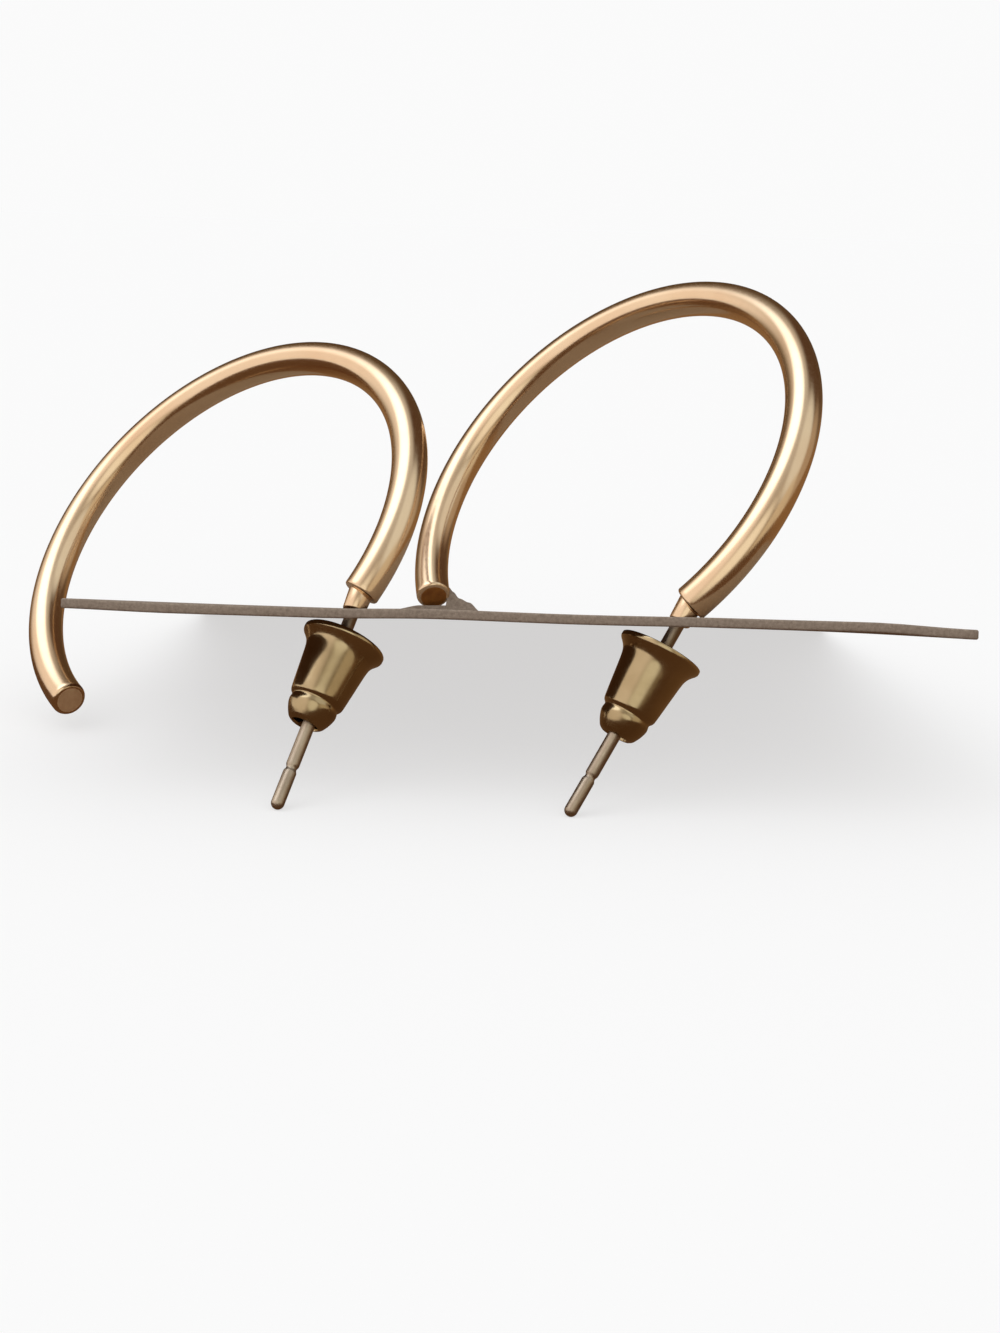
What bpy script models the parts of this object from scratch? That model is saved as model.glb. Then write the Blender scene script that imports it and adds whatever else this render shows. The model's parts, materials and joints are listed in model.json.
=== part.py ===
"""A pair of open hoop earrings on a display card, each held by a clutch on its post.

The card stands sloping: its far edge and the tips of the two posts touch the ground.
"""
import math

import bmesh
import bpy
from mathutils import Quaternion, Vector
from mathutils.bvhtree import BVHTree

MM = 0.001
UP = Vector((0.0, 0.0, 1.0))

# Hoop, collar and post, soldered into one piece
HOOP_RADIUS = 13.9 * MM
HOOP_SWEEP = math.radians(259.2)
WIRE_RADIUS = 1.085 * MM
WIRE_END_BEVEL = 0.16 * MM
COLLAR_RADIUS = 0.72 * MM
COLLAR_FOOT_RADIUS = 0.66 * MM
COLLAR_LENGTH = 1.25 * MM
POST_RADIUS = 0.38 * MM
POST_LENGTH = 13.95 * MM
NOTCH_DEPTH = 0.08 * MM
NOTCH_LENGTH = 0.5 * MM
NOTCH_TO_TIP = 2.5 * MM

# Clutch, a turned shell that grips the post
CLUTCH_LENGTH = 5.5 * MM
FLANGE_RADIUS = 2.45 * MM
FLANGE_THICKNESS = 0.28 * MM
FLANGE_FLARE = 1.1 * MM
BARREL_RADIUS = 1.92 * MM
BARREL_TAPER = 0.3 * MM
NOSE_LENGTH = 1.4 * MM
NOSE_RADIUS = 1.45 * MM
NOSE_END_RADIUS = 1.05 * MM
SHOULDER_LENGTH = 0.5 * MM
MOUTH_RADIUS = 0.75 * MM
CAVITY_RADIUS = 1.2 * MM
NOSE_CAVITY_RADIUS = 1.0 * MM
GRIP_RADIUS = 0.5 * MM
GRIP_LENGTH = 0.6 * MM
GRIP_HEIGHT = 3.0 * MM

# Card
CARD_WIDTH = 50.8 * MM
CARD_DEPTH = 50.8 * MM
CARD_THICKNESS = 0.55 * MM
CARD_CORNER_RADIUS = 0.8 * MM

# Fits
CARD_GAP = 0.15 * MM
HOLE_GAP = 0.3 * MM
WIRE_END_TO_CARD = 1.25 * MM

# How each earring sits in the card. hole_x and hole_y are measured from the middle of the near edge.
# heading and lean turn the post away from the card's normal, swing turns the hoop about its post,
# and post_bend is the bend between the post and the end of the wire. Angles are in degrees.
# cant_x and cant_y tip the clutch's axis, a unit vector, away from the post's.
EARRINGS = {
    "left": {
        "hole_x": -9.57 * MM, "hole_y": 5.0 * MM,
        "heading": 57.3, "lean": 30.6, "swing": -92.7, "post_bend": 18.4,
        "cant_x": 0.08, "cant_y": -0.045,
    },
    "right": {
        "hole_x": 9.02 * MM, "hole_y": 2.9 * MM,
        "heading": 24.5, "lean": 31.4, "swing": -72.5, "post_bend": 29.5,
        "cant_x": -0.03, "cant_y": -0.06,
    },
}

# Facets
WIRE_SIDES = 16
ARC_STEPS = 56
TIP_STEPS = 4
CLUTCH_SIDES = 28
CORNER_STEPS = 2
HOLE_SIDES = 32

# Weights used to find how the assembly stands, in kilograms per cubic metre
BRASS_DENSITY = 8500.0
CARD_DENSITY = 800.0


def clear_scene():
    for item in list(bpy.data.objects):
        bpy.data.objects.remove(item, do_unlink=True)


def make_material(name, color, roughness, metallic):
    material = bpy.data.materials.new(name)
    material.use_nodes = True
    shader = material.node_tree.nodes["Principled BSDF"]
    shader.inputs["Base Color"].default_value = (*color, 1.0)
    shader.inputs["Roughness"].default_value = roughness
    shader.inputs["Metallic"].default_value = metallic
    return material


def add_object(name, shape, material, parent):
    """Turn a bmesh into an object whose faces point outwards."""
    bmesh.ops.recalc_face_normals(shape, faces=shape.faces)
    mesh = bpy.data.meshes.new(name)
    shape.to_mesh(mesh)
    shape.free()
    mesh.materials.append(material)
    mesh.shade_smooth()
    mesh.set_sharp_from_angle(angle=math.radians(35.0))
    item = bpy.data.objects.new(name, mesh)
    bpy.context.collection.objects.link(item)
    item.parent = parent
    return item


def skin_rings(shape, rings, closed_path):
    """Join rings of equally many points by faces; an open path gets a flat cap at each end."""
    loops = [[shape.verts.new(point) for point in ring] for ring in rings]
    sides = len(loops[0])
    pairs = list(zip(loops, loops[1:]))
    if closed_path:
        pairs.append((loops[-1], loops[0]))
    for first, second in pairs:
        for side in range(sides):
            after = (side + 1) % sides
            shape.faces.new((first[side], first[after], second[after], second[side]))
    if not closed_path:
        shape.faces.new(loops[0])
        shape.faces.new(reversed(loops[-1]))


def ring_points(centre, first_axis, second_axis, radius, sides):
    points = []
    for side in range(sides):
        angle = 2.0 * math.pi * side / sides
        points.append(centre + radius * (math.cos(angle) * first_axis + math.sin(angle) * second_axis))
    return points


def wire_rings(post_bend):
    """Rings of the bent wire, from its free end to the end that carries the post.

    The post starts at the local origin and runs down -Z, and the hoop lies in the XZ plane.
    """
    sideways = Vector((0.0, 1.0, 0.0))
    out_at_end = Vector((math.cos(post_bend), 0.0, -math.sin(post_bend)))
    along_at_end = Vector((-math.sin(post_bend), 0.0, -math.cos(post_bend)))
    hoop_centre = -HOOP_RADIUS * out_at_end
    bevel_angle = WIRE_END_BEVEL / HOOP_RADIUS
    stations = [(HOOP_SWEEP, WIRE_RADIUS - WIRE_END_BEVEL)]
    for step in range(ARC_STEPS + 1):
        share = 1.0 - step / ARC_STEPS
        stations.append((bevel_angle + share * (HOOP_SWEEP - 2.0 * bevel_angle), WIRE_RADIUS))
    stations.append((0.0, WIRE_RADIUS - WIRE_END_BEVEL))
    rings = []
    for angle, radius in stations:
        outwards = math.cos(angle) * out_at_end - math.sin(angle) * along_at_end
        centre = hoop_centre + HOOP_RADIUS * outwards
        rings.append(ring_points(centre, outwards, sideways, radius, WIRE_SIDES))
    return rings


def post_rings(post_bend):
    """Rings of the collar and the post, from the wire's flat end to the rounded tip."""
    across = Vector((1.0, 0.0, 0.0))
    sideways = Vector((0.0, 1.0, 0.0))
    in_wire_end = Vector((1.0, 0.0, -math.tan(post_bend)))
    rings = [ring_points(Vector(), in_wire_end, sideways, COLLAR_RADIUS, WIRE_SIDES)]
    notch = POST_LENGTH - NOTCH_TO_TIP
    stations = [
        (COLLAR_LENGTH, COLLAR_FOOT_RADIUS),
        (COLLAR_LENGTH, POST_RADIUS),
        (notch - NOTCH_LENGTH / 2.0, POST_RADIUS),
        (notch - NOTCH_LENGTH / 6.0, POST_RADIUS - NOTCH_DEPTH),
        (notch + NOTCH_LENGTH / 6.0, POST_RADIUS - NOTCH_DEPTH),
        (notch + NOTCH_LENGTH / 2.0, POST_RADIUS),
    ]
    for step in range(TIP_STEPS):
        angle = 0.5 * math.pi * step / TIP_STEPS
        reach = POST_LENGTH - POST_RADIUS * (1.0 - math.sin(angle))
        stations.append((reach, POST_RADIUS * math.cos(angle)))
    for reach, radius in stations:
        rings.append(ring_points(Vector((0.0, 0.0, -reach)), across, sideways, radius, WIRE_SIDES))
    return rings


def add_hoop(name, post_bend, parent):
    shape = bmesh.new()
    skin_rings(shape, wire_rings(post_bend) + post_rings(post_bend), closed_path=False)
    return add_object(name, shape, make_material(name, (0.80, 0.52, 0.26), 0.14, 1.0), parent)


def clutch_outline():
    """Radius and height of the turned shell, down its outside and back up through its bore.

    Heights are measured from the mouth that the post leaves by, up to the flange's face.
    """
    flange_foot = CLUTCH_LENGTH - FLANGE_THICKNESS
    flare_foot = CLUTCH_LENGTH - FLANGE_FLARE
    shoulder = NOSE_LENGTH + SHOULDER_LENGTH
    barrel_foot_radius = BARREL_RADIUS - BARREL_TAPER
    grip_top = GRIP_HEIGHT + GRIP_LENGTH / 2.0
    grip_foot = GRIP_HEIGHT - GRIP_LENGTH / 2.0
    flare_middle = 0.5 * (flange_foot + flare_foot)
    flare_middle_radius = BARREL_RADIUS + 0.3 * (FLANGE_RADIUS - BARREL_RADIUS)
    outside = [
        (FLANGE_RADIUS - 0.5 * FLANGE_THICKNESS, CLUTCH_LENGTH),
        (FLANGE_RADIUS, CLUTCH_LENGTH - 0.3 * FLANGE_THICKNESS),
        (FLANGE_RADIUS, CLUTCH_LENGTH - 0.7 * FLANGE_THICKNESS),
        (FLANGE_RADIUS - 0.5 * FLANGE_THICKNESS, flange_foot),
        (flare_middle_radius, flare_middle),
        (BARREL_RADIUS, flare_foot),
        (barrel_foot_radius, shoulder),
        (barrel_foot_radius - 0.3 * (barrel_foot_radius - NOSE_RADIUS), NOSE_LENGTH + 0.4 * SHOULDER_LENGTH),
        (NOSE_RADIUS - 0.05 * NOSE_RADIUS, NOSE_LENGTH),
        (NOSE_RADIUS, 0.75 * NOSE_LENGTH),
        (0.6 * NOSE_RADIUS + 0.4 * NOSE_END_RADIUS, 0.4 * NOSE_LENGTH),
        (NOSE_END_RADIUS, 0.1 * NOSE_LENGTH),
        (0.5 * (NOSE_END_RADIUS + MOUTH_RADIUS), 0.0),
    ]
    bore = [
        (MOUTH_RADIUS, 0.05 * NOSE_LENGTH),
        (MOUTH_RADIUS, 0.3 * NOSE_LENGTH),
        (NOSE_CAVITY_RADIUS, 0.7 * NOSE_LENGTH),
        (NOSE_CAVITY_RADIUS, 0.8 * grip_foot),
        (GRIP_RADIUS, grip_foot),
        (GRIP_RADIUS, grip_top),
        (CAVITY_RADIUS, grip_top + 0.4 * (flare_foot - grip_top)),
        (CAVITY_RADIUS, flare_foot),
        (CAVITY_RADIUS, flange_foot),
        (FLANGE_RADIUS - 2.0 * FLANGE_THICKNESS, CLUTCH_LENGTH - 0.4 * FLANGE_THICKNESS),
    ]
    return outside + bore


def add_clutch(name, parent):
    """A turned shell whose origin is the point on the post's axis that it grips."""
    shape = bmesh.new()
    rings = []
    for radius, height in clutch_outline():
        centre = Vector((0.0, 0.0, height - GRIP_HEIGHT))
        rings.append(ring_points(centre, Vector((1.0, 0.0, 0.0)), Vector((0.0, 1.0, 0.0)), radius, CLUTCH_SIDES))
    skin_rings(shape, rings, closed_path=True)
    return add_object(name, shape, make_material(name, (0.46, 0.36, 0.20), 0.2, 1.0), parent)


def earring_turn(seat):
    """Rotation from the earring's own axes to the card's."""
    heading = Quaternion(UP, math.radians(seat["heading"]))
    lean = Quaternion((0.0, 1.0, 0.0), math.radians(seat["lean"]))
    swing = Quaternion(UP, math.radians(seat["swing"]))
    return heading @ lean @ swing


def place_earring(side, seat, parent):
    """The hoop with its post through the card, and the clutch pushed up to the card's underside."""
    turn = earring_turn(seat)
    post_up = turn @ UP
    hole = Vector((seat["hole_x"], seat["hole_y"], 0.0))
    wire_end = hole + WIRE_END_TO_CARD * post_up
    hoop = add_hoop("hoop_" + side, math.radians(seat["post_bend"]), parent)
    hoop.rotation_mode = "QUATERNION"
    hoop.rotation_quaternion = turn
    hoop.location = wire_end

    clutch_up = (post_up + Vector((seat["cant_x"], seat["cant_y"], 0.0))).normalized()
    flange_rise = FLANGE_RADIUS * math.sqrt(1.0 - clutch_up.z ** 2)
    flange_depth = 0.5 * CARD_THICKNESS + CARD_GAP + flange_rise
    grip_to_flange = (CLUTCH_LENGTH - GRIP_HEIGHT) * clutch_up.z
    grip_along_post = (wire_end.z + grip_to_flange + flange_depth) / post_up.z
    clutch = add_clutch("clutch_" + side, parent)
    clutch.rotation_mode = "QUATERNION"
    clutch.rotation_quaternion = UP.rotation_difference(clutch_up)
    clutch.location = wire_end - grip_along_post * post_up


def hole_radius(lean):
    """Smallest round hole that the leaning collar enters with its gap on the faces of the card."""
    return COLLAR_FOOT_RADIUS / math.cos(lean) + 0.5 * CARD_THICKNESS * math.tan(lean) + HOLE_GAP


def card_outline():
    """Corner arcs of the card's outline, counter-clockwise from the near right corner."""
    half_width = 0.5 * CARD_WIDTH - CARD_CORNER_RADIUS
    near = CARD_CORNER_RADIUS
    far = CARD_DEPTH - CARD_CORNER_RADIUS
    corners = [(half_width, near, 270.0), (half_width, far, 0.0), (-half_width, far, 90.0), (-half_width, near, 180.0)]
    points = []
    for x, y, start in corners:
        for step in range(CORNER_STEPS + 1):
            angle = math.radians(start + 90.0 * step / CORNER_STEPS)
            points.append((x + CARD_CORNER_RADIUS * math.cos(angle), y + CARD_CORNER_RADIUS * math.sin(angle)))
    return points


def add_card(parent):
    """Flat card, its mid-plane at height 0 and its near edge along X."""
    outline = card_outline()
    shape = bmesh.new()
    levels = (-0.5 * CARD_THICKNESS, 0.5 * CARD_THICKNESS)
    skin_rings(shape, [[(x, y, z) for x, y in outline] for z in levels], closed_path=False)
    card = add_object("display_card", shape, make_material("display_card", (0.36, 0.28, 0.20), 0.85, 0.0), parent)
    for side, seat in EARRINGS.items():
        cut_post_hole(card, side, seat, parent)
    return card


def cut_post_hole(card, side, seat, parent):
    shape = bmesh.new()
    radius = hole_radius(math.radians(seat["lean"]))
    bmesh.ops.create_cone(
        shape, cap_ends=True, segments=HOLE_SIDES, radius1=radius, radius2=radius, depth=4.0 * CARD_THICKNESS)
    cutter = add_object("cutter_" + side, shape, card.data.materials[0], parent)
    cutter.location = (seat["hole_x"], seat["hole_y"], 0.0)
    cutter.hide_render = True
    cutter.display_type = "WIRE"
    cut = card.modifiers.new("post_hole_" + side, "BOOLEAN")
    cut.operation = "DIFFERENCE"
    cut.object = cutter


def world_shape(item):
    """The object's evaluated mesh in world space, as a bmesh."""
    evaluated = item.evaluated_get(bpy.context.evaluated_depsgraph_get())
    shape = bmesh.new()
    shape.from_mesh(evaluated.to_mesh())
    shape.transform(item.matrix_world)
    evaluated.to_mesh_clear()
    return shape


def mass_centre(shapes_and_densities):
    """Centre of mass, summed over the tetrahedra that each triangle makes with the origin."""
    total = 0.0
    moment = Vector()
    for shape, density in shapes_and_densities:
        for first, second, third in shape.calc_loop_triangles():
            a, b, c = first.vert.co, second.vert.co, third.vert.co
            mass = density * a.dot(b.cross(c)) / 6.0
            total += mass
            moment += mass * (a + b + c) / 4.0
    return moment / total


def standing_turn(items):
    """Rotation that lays the hull face under the centre of mass flat on the ground."""
    shapes = []
    hull = bmesh.new()
    for item in items:
        shape = world_shape(item)
        density = CARD_DENSITY if item.name == "display_card" else BRASS_DENSITY
        shapes.append((shape, density))
        for vert in shape.verts:
            hull.verts.new(vert.co)
    centre = mass_centre(shapes)
    bmesh.ops.convex_hull(hull, input=hull.verts)
    tree = BVHTree.FromBMesh(hull)
    down = tree.ray_cast(centre, -UP)[1]
    if down.z > 0.0:
        down = -down
    level = down.rotation_difference(-UP)
    card_side = level @ Vector((1.0, 0.0, 0.0))
    straighten = Quaternion(UP, -math.atan2(card_side.y, card_side.x))
    hull.free()
    for shape, _ in shapes:
        shape.free()
    return straighten @ level


def stand_on_ground(stand, items):
    """Turn the assembly as it stands by itself, with the origin under the middle of its box."""
    stand.rotation_mode = "QUATERNION"
    stand.rotation_quaternion = standing_turn(items)
    bpy.context.view_layer.update()
    low = Vector((math.inf, math.inf, math.inf))
    high = -low
    for item in items:
        shape = world_shape(item)
        for vert in shape.verts:
            low = Vector(map(min, low, vert.co))
            high = Vector(map(max, high, vert.co))
        shape.free()
    stand.location = (-0.5 * (low.x + high.x), -0.5 * (low.y + high.y), -low.z)
    bpy.context.view_layer.update()


def main():
    clear_scene()
    stand = bpy.data.objects.new("stand", None)
    bpy.context.collection.objects.link(stand)
    add_card(stand)
    for side, seat in EARRINGS.items():
        place_earring(side, seat, stand)
    bpy.context.view_layer.update()
    items = [item for item in bpy.data.objects if item.type == "MESH" and not item.hide_render]
    stand_on_ground(stand, items)


main()
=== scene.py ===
"""Looks of a pair of open hoop earrings on a display card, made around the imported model."""
import json
import math

import bmesh
import bpy
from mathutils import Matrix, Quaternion, Vector


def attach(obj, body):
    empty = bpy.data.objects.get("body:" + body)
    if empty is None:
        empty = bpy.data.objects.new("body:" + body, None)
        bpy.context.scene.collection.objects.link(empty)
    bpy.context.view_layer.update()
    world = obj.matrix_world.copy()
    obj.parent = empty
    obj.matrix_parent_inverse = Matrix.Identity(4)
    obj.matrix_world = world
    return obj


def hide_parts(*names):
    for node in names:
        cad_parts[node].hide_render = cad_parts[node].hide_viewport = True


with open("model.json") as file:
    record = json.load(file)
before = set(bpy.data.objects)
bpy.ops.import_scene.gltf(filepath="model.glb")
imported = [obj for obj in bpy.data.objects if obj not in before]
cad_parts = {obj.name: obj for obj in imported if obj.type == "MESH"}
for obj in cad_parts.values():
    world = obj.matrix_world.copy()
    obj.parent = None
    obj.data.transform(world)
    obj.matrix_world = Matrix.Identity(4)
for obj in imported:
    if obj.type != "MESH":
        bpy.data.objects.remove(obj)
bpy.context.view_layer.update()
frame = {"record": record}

MM = 0.001
UP = Vector((0.0, 0.0, 1.0))
ACROSS = Vector((1.0, 0.0, 0.0))
SIDEWAYS = Vector((0.0, 1.0, 0.0))

# Sizes of the model, as its source has them
HOOP_RADIUS = 13.9 * MM
HOOP_SWEEP = math.radians(259.2)
WIRE_RADIUS = 1.085 * MM
WIRE_END_BEVEL = 0.16 * MM
FREE_END_BEVEL = 0.26 * MM
COLLAR_RADIUS = 0.72 * MM
COLLAR_FOOT_RADIUS = 0.66 * MM
COLLAR_LENGTH = 1.25 * MM
COLLAR_FILLET = 0.08 * MM
COLLAR_EDGE = 0.04 * MM
POST_RADIUS = 0.38 * MM
POST_LENGTH = 13.95 * MM
NOTCH_DEPTH = 0.08 * MM
NOTCH_LENGTH = 0.5 * MM
NOTCH_TO_TIP = 2.5 * MM

CLUTCH_LENGTH = 5.5 * MM
FLANGE_RADIUS = 2.45 * MM
FLANGE_THICKNESS = 0.28 * MM
FLANGE_FLARE = 1.1 * MM
BARREL_RADIUS = 1.92 * MM
BARREL_TAPER = 0.3 * MM
NOSE_LENGTH = 1.4 * MM
NOSE_RADIUS = 1.45 * MM
NOSE_END_RADIUS = 1.05 * MM
SHOULDER_LENGTH = 0.5 * MM
MOUTH_RADIUS = 0.75 * MM
MOUTH_ROUNDING = 0.06 * MM
CAVITY_RADIUS = 1.2 * MM
NOSE_CAVITY_RADIUS = 1.0 * MM
GRIP_RADIUS = 0.5 * MM
GRIP_LENGTH = 0.6 * MM
GRIP_HEIGHT = 3.0 * MM

CARD_WIDTH = 50.8 * MM
CARD_DEPTH = 50.8 * MM
CARD_THICKNESS = 0.55 * MM
CARD_CORNER_RADIUS = 0.8 * MM
CARD_EDGE_ROUNDING = 0.12 * MM
CARD_GAP = 0.15 * MM
HOLE_GAP = 0.3 * MM
WIRE_END_TO_CARD = 1.25 * MM
CARD_MOUNT_ACROSS = 8.6516 * MM
CARD_MOUNT_DEPTH = 34.0423 * MM

EARRINGS = {
    "left": {
        "hole_x": -9.57 * MM, "hole_y": 5.0 * MM,
        "heading": 57.3, "lean": 30.6, "swing": -92.7, "post_bend": 18.4,
        "cant_x": 0.08, "cant_y": -0.045,
    },
    "right": {
        "hole_x": 9.02 * MM, "hole_y": 2.9 * MM,
        "heading": 24.5, "lean": 31.4, "swing": -72.5, "post_bend": 29.5,
        "cant_x": -0.03, "cant_y": -0.06,
    },
}

# Fineness of the visible meshes
WIRE_SIDES = 64
ARC_STEPS = 320
BEVEL_STEPS = 5
TIP_STEPS = 10
CLUTCH_SIDES = 96
FILLET_STEPS = 5
NOTCH_STEPS = 8
CARD_EDGE_STEPS = 4
CARD_CORNER_STEPS = 8
CARD_SIDE_STEPS = 40
HOLE_SIDES = 48
SHARP_ANGLE = math.radians(50.0)

# The card's slight warp along its near edge: share of the width, rise
CARD_WARP = (
    (0.00, -0.04 * MM),
    (0.12, -0.13 * MM),
    (0.28, -0.11 * MM),
    (0.41, 0.04 * MM),
    (0.55, 0.0 * MM),
    (0.75, 0.09 * MM),
    (0.88, 0.12 * MM),
    (1.00, -0.10 * MM),
)

# A scrap of the card's face, lifted at the right hoop's free end: place across, height above the face
TAB_OUTLINE = (
    (-2.60 * MM, 0.00 * MM),
    (-0.80 * MM, 0.32 * MM),
    (0.80 * MM, 0.36 * MM),
    (0.95 * MM, 1.55 * MM),
    (1.25 * MM, 1.25 * MM),
    (1.64 * MM, 0.85 * MM),
    (2.30 * MM, 0.60 * MM),
    (3.05 * MM, 0.04 * MM),
)
TAB_THICKNESS = 0.16 * MM
TAB_LEAN = 0.35
TAB_ROOT = 0.1 * MM
TAB_STEPS = 60

# The camera looks along the card's plane; distances are in the card's frame
PHOTO_FOCAL_PIXELS = 1876.0
PHOTO_HEIGHT_PIXELS = 1333.0
SENSOR_HEIGHT = 36.0
CAMERA_TO_NEAR_EDGE = 103.1 * MM
CAMERA_LEFT_OF_MIDDLE = 1.1 * MM
CAMERA_PITCH = math.radians(-1.51)
CAMERA_ROLL = math.radians(1.92)

# Platings: bright and worn colour, least and greatest roughness, patches per metre, depth of the marks
HOOP_PLATING = ((0.83, 0.625, 0.41), (0.77, 0.535, 0.33), 0.15, 0.23, 160.0, 0.0004 * MM)
CLUTCH_PLATING = ((0.52, 0.40, 0.23), (0.40, 0.29, 0.15), 0.14, 0.24, 300.0, 0.0002 * MM)
POST_PLATING = ((0.54, 0.45, 0.34), (0.42, 0.33, 0.24), 0.34, 0.46, 500.0, 0.0002 * MM)

# Light and dark colour of the wires' cut ends and of the board; the right end's colours hold painted
# shade
LEFT_CUT = ((0.80, 0.57, 0.33), (0.66, 0.43, 0.24))
# Painted shade: the right wire's cut is the same metal as the left one's, coloured far darker for the
# shade on its downward-facing face
RIGHT_CUT_PAINTED_SHADE = ((0.40, 0.16, 0.03), (0.28, 0.10, 0.02))
BOARD_DARK = (0.19, 0.145, 0.11)
BOARD_LIGHT = (0.32, 0.26, 0.205)

# What the polished metal reflects: direction, cosines where the zone begins and is full, colour
ROOM_COLOR = (0.30, 0.235, 0.16)
ROOM_ZONES = (
    ((0.0, 0.0, 1.0), 0.55, 0.95, (0.58, 0.57, 0.55)),
    ((0.0, 1.0, 0.1), 0.45, 0.90, (0.10, 0.06, 0.03)),
    ((-0.90, -0.3, 0.35), 0.50, 0.85, (1.05, 0.98, 0.95)),
    ((0.72, 0.35, 0.62), 0.72, 0.90, (0.10, 0.055, 0.03)),
    ((0.95, 0.0, 0.1), 0.82, 0.95, (0.46, 0.37, 0.28)),
    ((0.58, -0.31, 0.65), 0.86, 0.95, (0.80, 0.82, 0.80)),
    ((-0.45, 0.05, 0.88), 0.86, 0.97, (2.1, 2.2, 2.4)),
    ((0.05, -0.92, 0.36), 0.88, 0.97, (1.05, 1.05, 0.98)),
    ((0.78, -0.60, 0.10), 0.90, 0.96, (0.66, 0.58, 0.45)),
)
DAYLIGHT = (0.90, 0.90, 0.90)
BACKGROUND_COLOR = (0.96, 0.96, 0.96)

# The floor that the camera sees, and the brown table that the metal and the card see in its place
FLOOR_REACH = 8.0
FLOOR_COLOR = (0.30, 0.30, 0.30)
FLOOR_GLOW = 0.63
TABLE_BEHIND = (0.26, 0.15, 0.07)
TABLE_IN_FRONT = (0.12, 0.062, 0.03)
TABLE_BOUNCE = (0.20, 0.10, 0.05)
TABLE_SLANT = (0.6, 1.0, 0.0)
TABLE_FADE_START = -20.0 * MM
TABLE_FADE_END = 30.0 * MM

# Suns: name, direction towards the source, angle across in degrees, strength
SUNS = (
    ("key", (-0.65, -0.35, 0.75), 50.0, 0.55),
    ("front_fill", (0.15, -1.0, 0.35), 60.0, 0.45),
)


def card_axes():
    """Rotation and origin of the card: its origin is the middle of the near edge, at mid-thickness."""
    mounts = {mount["name"]: mount for mount in frame["record"]["mounts"]}
    normal = Vector(mounts["card_front"]["axis"]).normalized()
    depthwise = normal.cross(ACROSS).normalized()
    turn = Quaternion(ACROSS, math.atan2(-normal.y, normal.z))
    origin = Vector(mounts["card_front"]["pos_m"]) - 0.5 * CARD_THICKNESS * normal
    origin -= CARD_MOUNT_DEPTH * depthwise + CARD_MOUNT_ACROSS * ACROSS
    return turn, origin


CARD_TURN, CARD_ORIGIN = card_axes()


def on_card(point):
    return CARD_TURN @ point + CARD_ORIGIN


def add_mesh(name, shape, material, body, replaced):
    """Make a visible piece that rides on a body and, unless it is new, replaces a solid."""
    bmesh.ops.recalc_face_normals(shape, faces=shape.faces)
    mesh = bpy.data.meshes.new(name)
    shape.to_mesh(mesh)
    shape.free()
    mesh.materials.append(material)
    mesh.shade_smooth()
    mesh.set_sharp_from_angle(angle=SHARP_ANGLE)
    piece = bpy.data.objects.new(name, mesh)
    bpy.context.collection.objects.link(piece)
    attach(piece, body)
    if replaced is not None:
        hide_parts(replaced)
    return piece


def skin_rings(shape, rings, closed_path):
    """Join rings of equally many points by faces; an open path gets a flat cap at each end."""
    loops = [[shape.verts.new(point) for point in ring] for ring in rings]
    sides = len(loops[0])
    pairs = list(zip(loops, loops[1:]))
    if closed_path:
        pairs.append((loops[-1], loops[0]))
    for first, second in pairs:
        for side in range(sides):
            after = (side + 1) % sides
            shape.faces.new((first[side], first[after], second[after], second[side]))
    if not closed_path:
        shape.faces.new(loops[0])
        shape.faces.new(reversed(loops[-1]))


def ring_points(centre, first_axis, second_axis, radius, sides):
    points = []
    for side in range(sides):
        angle = 2.0 * math.pi * side / sides
        points.append(centre + radius * (math.cos(angle) * first_axis + math.sin(angle) * second_axis))
    return points


# Node helpers

def new_material(name):
    material = bpy.data.materials.new(name)
    material.use_nodes = True
    return material, material.node_tree.nodes, material.node_tree.links


def noise(nodes, links, scale, detail, roughness=0.5):
    """Noise in object coordinates, with its scale given per metre."""
    place = nodes.new("ShaderNodeTexCoord")
    texture = nodes.new("ShaderNodeTexNoise")
    texture.inputs["Scale"].default_value = scale
    texture.inputs["Detail"].default_value = detail
    texture.inputs["Roughness"].default_value = roughness
    links.new(place.outputs["Object"], texture.inputs["Vector"])
    return texture.outputs["Fac"]


def spread(nodes, links, value, low, high, from_low=0.3, from_high=0.7):
    """Map a value from one range to another."""
    node = nodes.new("ShaderNodeMapRange")
    node.inputs["From Min"].default_value = from_low
    node.inputs["From Max"].default_value = from_high
    node.inputs["To Min"].default_value = low
    node.inputs["To Max"].default_value = high
    links.new(value, node.inputs["Value"])
    return node.outputs["Result"]


def mix_by(nodes, links, factor, first, second):
    """Mix two colours, each one a socket or a plain colour."""
    node = nodes.new("ShaderNodeMix")
    node.data_type = "RGBA"
    links.new(factor, node.inputs["Factor"])
    for name, color in (("A", first), ("B", second)):
        if isinstance(color, tuple):
            node.inputs[name].default_value = (*color, 1.0)
        else:
            links.new(color, node.inputs[name])
    return node.outputs["Result"]


def add_bump(nodes, links, height, distance, strength, below=None):
    node = nodes.new("ShaderNodeBump")
    node.inputs["Strength"].default_value = strength
    node.inputs["Distance"].default_value = distance
    links.new(height, node.inputs["Height"])
    if below is not None:
        links.new(below, node.inputs["Normal"])
    return node.outputs["Normal"]


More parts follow.
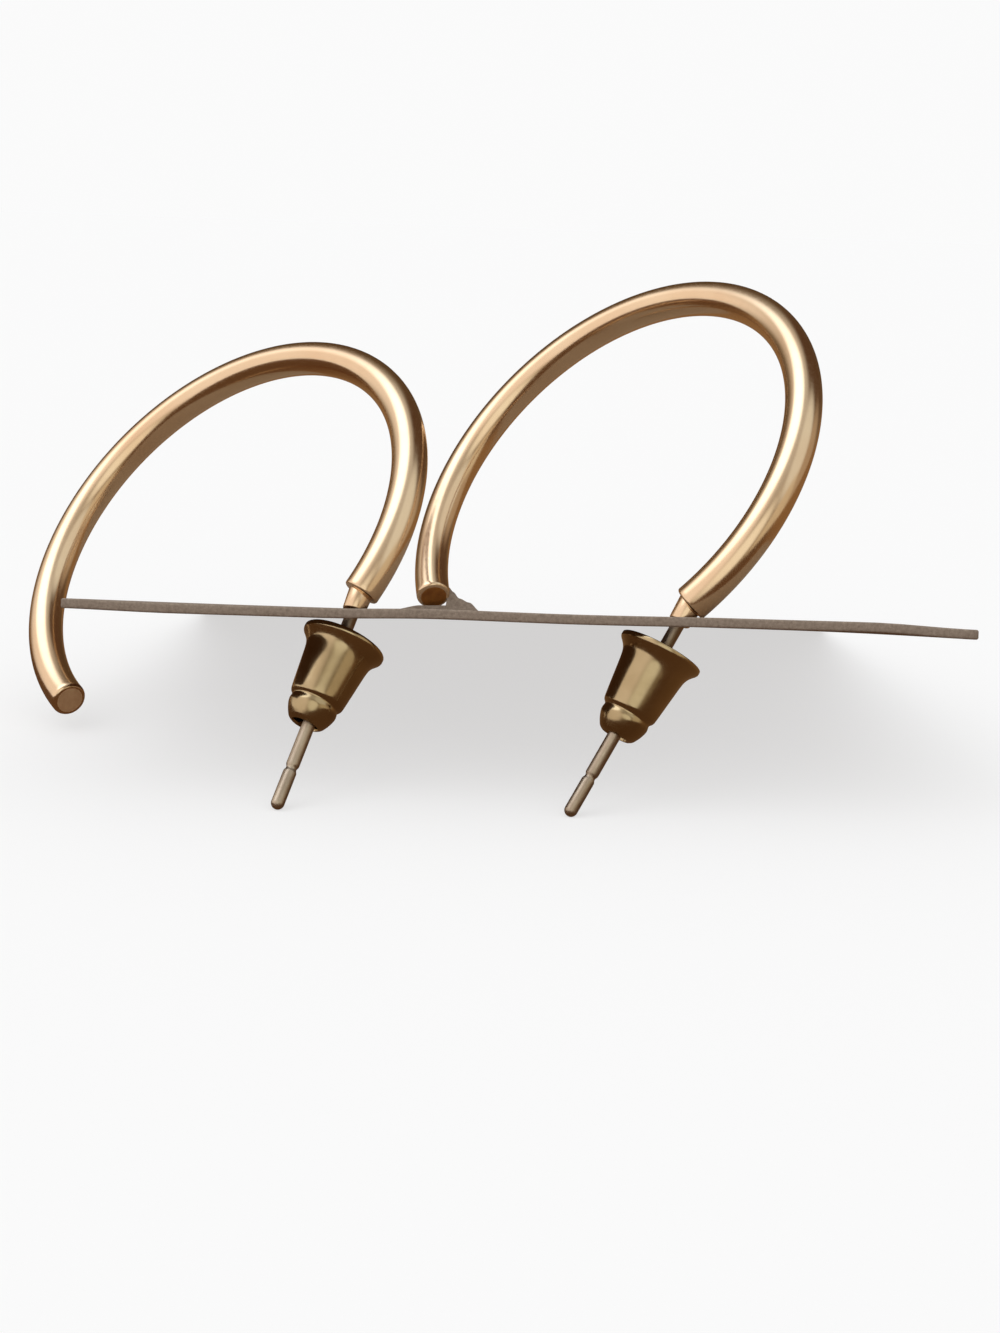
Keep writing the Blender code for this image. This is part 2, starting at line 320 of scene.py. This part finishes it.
def plated_metal(name, bright, worn, smooth, rough, patch_scale, mark_depth):
    """Polished plating: a slow change of tone, fine polishing haze and faint handling marks."""
    material, nodes, links = new_material(name)
    shader = nodes["Principled BSDF"]
    shader.inputs["Metallic"].default_value = 1.0
    patches = noise(nodes, links, patch_scale, 4.0)
    tone = spread(nodes, links, patches, 0.0, 1.0, 0.4, 0.75)
    links.new(mix_by(nodes, links, tone, bright, worn), shader.inputs["Base Color"])
    haze = noise(nodes, links, 2600.0, 6.0, 0.7)
    links.new(spread(nodes, links, haze, smooth, rough), shader.inputs["Roughness"])
    waves = noise(nodes, links, 420.0, 2.0)
    ripple = add_bump(nodes, links, waves, 0.004 * MM, 0.6)
    marks = noise(nodes, links, 9000.0, 3.0)
    links.new(add_bump(nodes, links, marks, mark_depth, 0.5, ripple), shader.inputs["Normal"])
    return material


def cut_metal(name, light, dark):
    """Sawn and filed end of the wire: duller and browner, with fine file marks."""
    material, nodes, links = new_material(name)
    shader = nodes["Principled BSDF"]
    shader.inputs["Metallic"].default_value = 0.55
    stains = spread(nodes, links, noise(nodes, links, 1500.0, 5.0), 0.0, 1.0)
    links.new(mix_by(nodes, links, stains, light, dark), shader.inputs["Base Color"])
    place = nodes.new("ShaderNodeTexCoord")
    stripes = nodes.new("ShaderNodeTexWave")
    stripes.inputs["Scale"].default_value = 3500.0
    stripes.inputs["Distortion"].default_value = 1.5
    links.new(place.outputs["Object"], stripes.inputs["Vector"])
    shader.inputs["Roughness"].default_value = 0.5
    links.new(add_bump(nodes, links, stripes.outputs["Fac"], 0.006 * MM, 0.5), shader.inputs["Normal"])
    return material


def card_board():
    """Uncoated greyboard: flecked fibres, slight mottling and a soft tooth."""
    material, nodes, links = new_material("card_board")
    shader = nodes["Principled BSDF"]
    shader.inputs["Roughness"].default_value = 0.9
    shader.inputs["Specular IOR Level"].default_value = 0.25
    flecks = noise(nodes, links, 5200.0, 8.0, 0.75)
    mottle = spread(nodes, links, flecks, 0.0, 1.0, 0.35, 0.68)
    links.new(mix_by(nodes, links, mottle, BOARD_DARK, BOARD_LIGHT), shader.inputs["Base Color"])
    tooth = noise(nodes, links, 14000.0, 6.0, 0.7)
    links.new(add_bump(nodes, links, tooth, 0.02 * MM, 0.7), shader.inputs["Normal"])
    return material


# Hoops

def on_hoop(post_bend, angle):
    """Direction out of the hoop, and place on the wire's axis, at an angle from the post's end."""
    out_at_post = Vector((math.cos(post_bend), 0.0, -math.sin(post_bend)))
    along_at_post = Vector((-math.sin(post_bend), 0.0, -math.cos(post_bend)))
    outwards = math.cos(angle) * out_at_post - math.sin(angle) * along_at_post
    return outwards, HOOP_RADIUS * (outwards - out_at_post)


def wire_rings(post_bend):
    """Rings of the bent wire in the earring's own frame, from the free end to the post's end."""
    stations = []
    for reach, radius in rounded_end(FREE_END_BEVEL):
        stations.append((HOOP_SWEEP - reach / HOOP_RADIUS, radius))
    first = HOOP_SWEEP - FREE_END_BEVEL / HOOP_RADIUS
    last = WIRE_END_BEVEL / HOOP_RADIUS
    for step in range(ARC_STEPS + 1):
        stations.append((first + (last - first) * step / ARC_STEPS, WIRE_RADIUS))
    for reach, radius in reversed(rounded_end(WIRE_END_BEVEL)):
        stations.append((reach / HOOP_RADIUS, radius))
    rings = []
    for angle, radius in stations:
        outwards, centre = on_hoop(post_bend, angle)
        rings.append(ring_points(centre, outwards, SIDEWAYS, radius, WIRE_SIDES))
    return rings


def rounded_end(bevel):
    """Distance from the wire's end, and radius, from the flat cut to the full wire."""
    stations = []
    for step in range(BEVEL_STEPS):
        turn = 0.5 * math.pi * step / BEVEL_STEPS
        stations.append((bevel * (1.0 - math.cos(turn)), WIRE_RADIUS - bevel * (1.0 - math.sin(turn))))
    return stations


def post_rings(post_bend):
    """Rings of the collar and the post, from the wire's flat end to the rounded tip."""
    in_wire_end = Vector((1.0, 0.0, -math.tan(post_bend)))
    under_fillet = Vector((0.0, 0.0, -0.4 * COLLAR_FILLET))
    rings = [
        ring_points(Vector(), in_wire_end, SIDEWAYS, COLLAR_RADIUS + COLLAR_FILLET, WIRE_SIDES),
        ring_points(under_fillet, in_wire_end, SIDEWAYS, COLLAR_RADIUS, WIRE_SIDES),
    ]
    notch = POST_LENGTH - NOTCH_TO_TIP
    stations = [
        (COLLAR_LENGTH - 3.0 * COLLAR_EDGE, COLLAR_FOOT_RADIUS),
        (COLLAR_LENGTH - COLLAR_EDGE, COLLAR_FOOT_RADIUS - COLLAR_EDGE),
        (COLLAR_LENGTH, COLLAR_FOOT_RADIUS - 2.5 * COLLAR_EDGE),
        (COLLAR_LENGTH, POST_RADIUS + COLLAR_EDGE),
        (COLLAR_LENGTH + COLLAR_EDGE, POST_RADIUS),
    ]
    for step in range(NOTCH_STEPS + 1):
        share = step / NOTCH_STEPS
        dip = NOTCH_DEPTH * math.sin(math.pi * share) ** 2
        stations.append((notch + (share - 0.5) * NOTCH_LENGTH, POST_RADIUS - dip))
    for step in range(TIP_STEPS):
        angle = 0.5 * math.pi * step / TIP_STEPS
        reach = POST_LENGTH - POST_RADIUS * (1.0 - math.sin(angle))
        stations.append((reach, POST_RADIUS * math.cos(angle)))
    for reach, radius in stations:
        rings.append(ring_points(Vector((0.0, 0.0, -reach)), ACROSS, SIDEWAYS, radius, WIRE_SIDES))
    return rings


def earring_turn(seat):
    heading = Quaternion(UP, math.radians(seat["heading"]))
    lean = Quaternion(SIDEWAYS, math.radians(seat["lean"]))
    swing = Quaternion(UP, math.radians(seat["swing"]))
    return heading @ lean @ swing


def wire_end_on_card(seat):
    post_up = earring_turn(seat) @ UP
    return Vector((seat["hole_x"], seat["hole_y"], 0.0)) + WIRE_END_TO_CARD * post_up


def add_hoop(side, seat, material, cut, post_metal):
    """The hoop with its collar and post; its largest face is the cut at the wire's free end.

    The wire keeps the hoop's plating, and the post below the collar has a duller one.
    """
    turn = earring_turn(seat)
    wire_end = wire_end_on_card(seat)
    bend = math.radians(seat["post_bend"])
    shape = bmesh.new()
    rings = []
    for ring in wire_rings(bend) + post_rings(bend):
        rings.append([on_card(turn @ point + wire_end) for point in ring])
    skin_rings(shape, rings, closed_path=False)
    hoop = add_mesh("gold_hoop_" + side, shape, material, "card_and_hoops", "hoop_" + side)
    hoop.data.materials.append(cut)
    hoop.data.materials.append(post_metal)
    cut_face = max(hoop.data.polygons, key=lambda face: face.area)
    cut_face.material_index = 1
    collar_foot = wire_end - COLLAR_LENGTH * (turn @ UP)
    post_down = CARD_TURN @ turn @ -UP
    for face in hoop.data.polygons:
        from_foot = face.center - on_card(collar_foot)
        along = from_foot.dot(post_down)
        if along > 0.0 and (from_foot - along * post_down).length < COLLAR_RADIUS:
            face.material_index = 2


# Clutches

def clutch_corners():
    """Radius, height and fillet of the turned shell's corners, down its outside and up its bore."""
    flange_foot = CLUTCH_LENGTH - FLANGE_THICKNESS
    flare_foot = CLUTCH_LENGTH - FLANGE_FLARE
    shoulder = NOSE_LENGTH + SHOULDER_LENGTH
    barrel_foot_radius = BARREL_RADIUS - BARREL_TAPER
    grip_top = GRIP_HEIGHT + GRIP_LENGTH / 2.0
    grip_foot = GRIP_HEIGHT - GRIP_LENGTH / 2.0
    flare_middle = 0.5 * (flange_foot + flare_foot)
    flare_middle_radius = BARREL_RADIUS + 0.3 * (FLANGE_RADIUS - BARREL_RADIUS)
    step_radius = barrel_foot_radius - 0.3 * (barrel_foot_radius - NOSE_RADIUS)
    return [
        (FLANGE_RADIUS, CLUTCH_LENGTH, 0.1 * MM),
        (FLANGE_RADIUS, flange_foot, 0.1 * MM),
        (flare_middle_radius, flare_middle, 0.3 * MM),
        (BARREL_RADIUS, flare_foot, 0.5 * MM),
        (barrel_foot_radius, shoulder, 0.3 * MM),
        (step_radius, NOSE_LENGTH + 0.4 * SHOULDER_LENGTH, 0.12 * MM),
        (0.95 * NOSE_RADIUS, NOSE_LENGTH, 0.1 * MM),
        (NOSE_RADIUS, 0.75 * NOSE_LENGTH, 0.2 * MM),
        (0.6 * NOSE_RADIUS + 0.4 * NOSE_END_RADIUS, 0.4 * NOSE_LENGTH, 0.3 * MM),
        (NOSE_END_RADIUS, 0.1 * NOSE_LENGTH, 0.12 * MM),
        (MOUTH_RADIUS + MOUTH_ROUNDING, 0.0, 0.04 * MM),
        (MOUTH_RADIUS, 0.12 * NOSE_LENGTH, 0.04 * MM),
        (MOUTH_RADIUS, 0.3 * NOSE_LENGTH, 0.1 * MM),
        (NOSE_CAVITY_RADIUS, 0.7 * NOSE_LENGTH, 0.1 * MM),
        (NOSE_CAVITY_RADIUS, 0.8 * grip_foot, 0.1 * MM),
        (GRIP_RADIUS, grip_foot, 0.08 * MM),
        (GRIP_RADIUS, grip_top, 0.08 * MM),
        (CAVITY_RADIUS, grip_top + 0.4 * (flare_foot - grip_top), 0.1 * MM),
        (CAVITY_RADIUS, flange_foot, 0.15 * MM),
        (FLANGE_RADIUS - 2.0 * FLANGE_THICKNESS, CLUTCH_LENGTH - 0.4 * FLANGE_THICKNESS, 0.1 * MM),
    ]


def rounded_outline(corners):
    """Replace each corner of a closed outline by a curve that starts and ends a fillet away from it."""
    points = []
    count = len(corners)
    for index, (radius, height, fillet) in enumerate(corners):
        corner = Vector((radius, height))
        before = Vector(corners[index - 1][:2]) - corner
        after = Vector(corners[(index + 1) % count][:2]) - corner
        start = corner + before.normalized() * min(fillet, 0.45 * before.length)
        end = corner + after.normalized() * min(fillet, 0.45 * after.length)
        for step in range(FILLET_STEPS + 1):
            share = step / FILLET_STEPS
            first = start.lerp(corner, share)
            second = corner.lerp(end, share)
            points.append(first.lerp(second, share))
    return points


def add_clutch(side, seat, material):
    post_up = earring_turn(seat) @ UP
    clutch_up = (post_up + Vector((seat["cant_x"], seat["cant_y"], 0.0))).normalized()
    flange_rise = FLANGE_RADIUS * math.sqrt(1.0 - clutch_up.z ** 2)
    flange_depth = 0.5 * CARD_THICKNESS + CARD_GAP + flange_rise
    wire_end = wire_end_on_card(seat)
    grip_to_flange = (CLUTCH_LENGTH - GRIP_HEIGHT) * clutch_up.z
    grip_along_post = (wire_end.z + grip_to_flange + flange_depth) / post_up.z
    grip = wire_end - grip_along_post * post_up
    turn = UP.rotation_difference(clutch_up)
    rings = []
    for point in rounded_outline(clutch_corners()):
        centre = Vector((0.0, 0.0, point.y - GRIP_HEIGHT))
        ring = ring_points(centre, ACROSS, SIDEWAYS, point.x, CLUTCH_SIDES)
        rings.append([on_card(turn @ place + grip) for place in ring])
    shape = bmesh.new()
    skin_rings(shape, rings, closed_path=True)
    add_mesh("gold_clutch_" + side, shape, material, "clutch_" + side, "clutch_" + side)


# Card

def card_outline(inset):
    """Outline of the card, drawn in by an inset, with points along its straight sides too."""
    half_width = 0.5 * CARD_WIDTH - CARD_CORNER_RADIUS
    far = CARD_DEPTH - CARD_CORNER_RADIUS
    radius = CARD_CORNER_RADIUS - inset
    corners = [
        (half_width, CARD_CORNER_RADIUS, 270.0), (half_width, far, 0.0),
        (-half_width, far, 90.0), (-half_width, CARD_CORNER_RADIUS, 180.0),
    ]
    arcs = []
    for x, y, start in corners:
        arc = []
        for step in range(CARD_CORNER_STEPS + 1):
            angle = math.radians(start + 90.0 * step / CARD_CORNER_STEPS)
            arc.append(Vector((x + radius * math.cos(angle), y + radius * math.sin(angle))))
        arcs.append(arc)
    points = []
    for index, arc in enumerate(arcs):
        points += arc
        following = arcs[(index + 1) % len(arcs)][0]
        for step in range(1, CARD_SIDE_STEPS):
            points.append(arc[-1].lerp(following, step / CARD_SIDE_STEPS))
    return points


def smooth_step(share):
    return share * share * (3.0 - 2.0 * share)


def height_at(outline, across):
    """Height of a soft outline, given by its points from left to right."""
    for (left, height), (right, next_height) in zip(outline, outline[1:]):
        if across <= right:
            return height + smooth_step((across - left) / (right - left)) * (next_height - height)
    return outline[-1][1]


def warped(point):
    """The warp fades out towards the far edge, which lies flat on the ground."""
    share = min(max(point.x / CARD_WIDTH + 0.5, 0.0), 1.0)
    fade = (1.0 - min(max(point.y / CARD_DEPTH, 0.0), 1.0)) ** 2
    return Vector((point.x, point.y, point.z + fade * height_at(CARD_WARP, share)))


def hole_radius(lean):
    return COLLAR_FOOT_RADIUS / math.cos(lean) + 0.5 * CARD_THICKNESS * math.tan(lean) + HOLE_GAP


def flat_card():
    """Card in its own frame with softly rounded cut edges, before its holes and its warp."""
    half = 0.5 * CARD_THICKNESS
    edge = CARD_EDGE_ROUNDING
    middle = Vector((0.0, 0.5 * CARD_DEPTH))
    levels = []
    for step in range(CARD_EDGE_STEPS + 1):
        turn = 0.5 * math.pi * step / CARD_EDGE_STEPS
        levels.append((edge * (1.0 - math.sin(turn)), half - edge + edge * math.cos(turn)))
    rings = []
    inner_shares = (0.05, 0.12, 0.2, 0.3, 0.4, 0.5, 0.6, 0.7, 0.8, 0.9, 0.96)
    rim = card_outline(edge)
    for share in inner_shares:
        rings.append([(*middle.lerp(point, share), half) for point in rim])
    for inset, z in levels:
        rings.append([(*point, z) for point in card_outline(inset)])
    for inset, z in reversed(levels):
        rings.append([(*point, -z) for point in card_outline(inset)])
    for share in reversed(inner_shares):
        rings.append([(*middle.lerp(point, share), -half) for point in rim])
    shape = bmesh.new()
    skin_rings(shape, rings, closed_path=False)
    return shape


def punch_hole(card, seat):
    """Give the card a cut for the post's hole, and return the tool that makes it."""
    radius = hole_radius(math.radians(seat["lean"]))
    shape = bmesh.new()
    depth = 4.0 * CARD_THICKNESS
    bmesh.ops.create_cone(
        shape, cap_ends=True, segments=HOLE_SIDES, radius1=radius, radius2=radius, depth=depth)
    mesh = bpy.data.meshes.new("punch")
    shape.to_mesh(mesh)
    shape.free()
    punch = bpy.data.objects.new("punch", mesh)
    punch.location = (seat["hole_x"], seat["hole_y"], 0.0)
    bpy.context.collection.objects.link(punch)
    cut = card.modifiers.new("hole", "BOOLEAN")
    cut.operation = "DIFFERENCE"
    cut.object = punch
    return punch


def punched_card_mesh():
    """The flat card with both holes cut, as an editable mesh; the tools are removed."""
    mesh = bpy.data.meshes.new("card_blank")
    shape = flat_card()
    bmesh.ops.recalc_face_normals(shape, faces=shape.faces)
    shape.to_mesh(mesh)
    shape.free()
    blank = bpy.data.objects.new("card_blank", mesh)
    bpy.context.collection.objects.link(blank)
    punches = [punch_hole(blank, seat) for seat in EARRINGS.values()]
    bpy.context.view_layer.update()
    evaluated = blank.evaluated_get(bpy.context.evaluated_depsgraph_get())
    shape = bmesh.new()
    shape.from_mesh(evaluated.to_mesh())
    evaluated.to_mesh_clear()
    for item in [blank] + punches:
        bpy.data.objects.remove(item, do_unlink=True)
    return shape


def add_card(material):
    shape = punched_card_mesh()
    for vert in shape.verts:
        vert.co = on_card(warped(vert.co))
    add_mesh("board_card", shape, material, "card_and_hoops", "display_card")


def free_end(seat):
    """Middle of the cut at the wire's free end, in the card's frame."""
    place = on_hoop(math.radians(seat["post_bend"]), HOOP_SWEEP)[1]
    return earring_turn(seat) @ place + wire_end_on_card(seat)


def add_tab(seat, material):
    """A scrap of the card's face, lifted under and beside the wire's free end."""
    end = free_end(seat)
    surface = 0.5 * CARD_THICKNESS
    left = TAB_OUTLINE[0][0]
    right = TAB_OUTLINE[-1][0]
    rings = []
    for step in range(TAB_STEPS + 1):
        across = left + (right - left) * step / TAB_STEPS
        rise = height_at(TAB_OUTLINE, across)
        back = end.y + TAB_LEAN * rise
        ring = [(end.y, surface - TAB_ROOT), (end.y + TAB_THICKNESS, surface - TAB_ROOT)]
        ring += [(back + TAB_THICKNESS, surface + rise), (back, surface + rise)]
        rings.append([on_card(Vector((end.x + across, y, z))) for y, z in ring])
    shape = bmesh.new()
    skin_rings(shape, rings, closed_path=False)
    add_mesh("torn_tab", shape, material, "card_and_hoops", None)


# Studio

def add_camera():
    data = bpy.data.cameras.new("camera")
    data.sensor_width = SENSOR_HEIGHT
    data.lens = SENSOR_HEIGHT * PHOTO_FOCAL_PIXELS / PHOTO_HEIGHT_PIXELS
    data.clip_start = 1.0 * MM
    camera = bpy.data.objects.new("camera", data)
    bpy.context.collection.objects.link(camera)
    level_view = Quaternion(ACROSS, math.radians(90.0))
    pitch = Quaternion(ACROSS, CAMERA_PITCH)
    roll = Quaternion(SIDEWAYS, -CAMERA_ROLL)
    camera.rotation_mode = "QUATERNION"
    camera.rotation_quaternion = CARD_TURN @ roll @ pitch @ level_view
    camera.location = on_card(Vector((-CAMERA_LEFT_OF_MIDDLE, -CAMERA_TO_NEAR_EDGE, 0.0)))
    bpy.context.scene.camera = camera


def add_sun(name, source, angle, strength):
    """A soft light from far away, so that the floor is even; the room makes the metal's highlights."""
    data = bpy.data.lights.new(name, "SUN")
    data.angle = math.radians(angle)
    data.energy = strength
    light = bpy.data.objects.new(name, data)
    light.rotation_mode = "QUATERNION"
    light.rotation_quaternion = Vector(source).to_track_quat("Z", "Y")
    light.visible_glossy = False
    bpy.context.collection.objects.link(light)


def add_room():
    """White daylight on the floor, a plain backdrop, and the room that the metal reflects."""
    world = bpy.data.worlds.new("room")
    world.use_nodes = True
    bpy.context.scene.world = world
    nodes = world.node_tree.nodes
    links = world.node_tree.links
    nodes.clear()
    place = nodes.new("ShaderNodeTexCoord")
    color = ROOM_COLOR
    for direction, begins, full, zone_color in ROOM_ZONES:
        dot = nodes.new("ShaderNodeVectorMath")
        dot.operation = "DOT_PRODUCT"
        dot.inputs[1].default_value = Vector(direction).normalized()
        links.new(place.outputs["Generated"], dot.inputs[0])
        fade = nodes.new("ShaderNodeMapRange")
        fade.interpolation_type = "SMOOTHSTEP"
        fade.inputs["From Min"].default_value = begins
        fade.inputs["From Max"].default_value = full
        links.new(dot.outputs["Value"], fade.inputs["Value"])
        color = mix_by(nodes, links, fade.outputs["Result"], color, zone_color)
    path = nodes.new("ShaderNodeLightPath")
    color = mix_by(nodes, links, path.outputs["Is Diffuse Ray"], color, DAYLIGHT)
    color = mix_by(nodes, links, path.outputs["Is Camera Ray"], color, BACKGROUND_COLOR)
    background = nodes.new("ShaderNodeBackground")
    links.new(color, background.inputs["Color"])
    output = nodes.new("ShaderNodeOutputWorld")
    links.new(background.outputs["Background"], output.inputs["Surface"])


def floor_material():
    """A softly glowing pale floor to the camera; the metal and the card see a brown table instead."""
    material, nodes, links = new_material("pale_floor")
    shader = nodes["Principled BSDF"]
    shader.inputs["Base Color"].default_value = (*FLOOR_COLOR, 1.0)
    shader.inputs["Emission Color"].default_value = (1.0, 1.0, 1.0, 1.0)
    shader.inputs["Emission Strength"].default_value = FLOOR_GLOW
    shader.inputs["Roughness"].default_value = 1.0
    shader.inputs["Specular IOR Level"].default_value = 0.0
    place = nodes.new("ShaderNodeTexCoord")
    towards_back = nodes.new("ShaderNodeVectorMath")
    towards_back.operation = "DOT_PRODUCT"
    towards_back.inputs[1].default_value = TABLE_SLANT
    links.new(place.outputs["Object"], towards_back.inputs[0])
    depth = spread(
        nodes, links, towards_back.outputs["Value"], 0.0, 1.0, TABLE_FADE_START, TABLE_FADE_END)
    table = nodes.new("ShaderNodeEmission")
    path = nodes.new("ShaderNodeLightPath")
    mirrored = mix_by(nodes, links, depth, TABLE_IN_FRONT, TABLE_BEHIND)
    seen = mix_by(nodes, links, path.outputs["Is Diffuse Ray"], mirrored, TABLE_BOUNCE)
    links.new(seen, table.inputs["Color"])
    mix = nodes.new("ShaderNodeMixShader")
    links.new(path.outputs["Is Camera Ray"], mix.inputs["Fac"])
    links.new(table.outputs["Emission"], mix.inputs[1])
    links.new(shader.outputs["BSDF"], mix.inputs[2])
    links.new(mix.outputs["Shader"], nodes["Material Output"].inputs["Surface"])
    return material


def add_floor():
    mesh = bpy.data.meshes.new("floor")
    corners = [(x * FLOOR_REACH, y * FLOOR_REACH, 0.0) for x, y in ((-1, -1), (1, -1), (1, 1), (-1, 1))]
    mesh.from_pydata(corners, [], [(0, 1, 2, 3)])
    mesh.materials.append(floor_material())
    floor = bpy.data.objects.new("floor", mesh)
    bpy.context.collection.objects.link(floor)


def add_studio():
    add_camera()
    add_room()
    add_floor()
    for sun in SUNS:
        add_sun(*sun)
    bpy.context.scene.view_settings.view_transform = "Standard"


hoop_gold = plated_metal("hoop_gold_plating", *HOOP_PLATING)
clutch_gold = plated_metal("clutch_gold_plating", *CLUTCH_PLATING)
post_gold = plated_metal("post_plating", *POST_PLATING)
cuts = {
    "left": cut_metal("cut_left_wire_end", *LEFT_CUT),
    # The right end's cut material carries painted shade in its darker colours
    "right": cut_metal("cut_right_wire_end_painted_shade", *RIGHT_CUT_PAINTED_SHADE),
}
board = card_board()

add_studio()
add_card(board)
add_tab(EARRINGS["right"], board)
for side, seat in EARRINGS.items():
    add_hoop(side, seat, hoop_gold, cuts[side], post_gold)
    add_clutch(side, seat, clutch_gold)
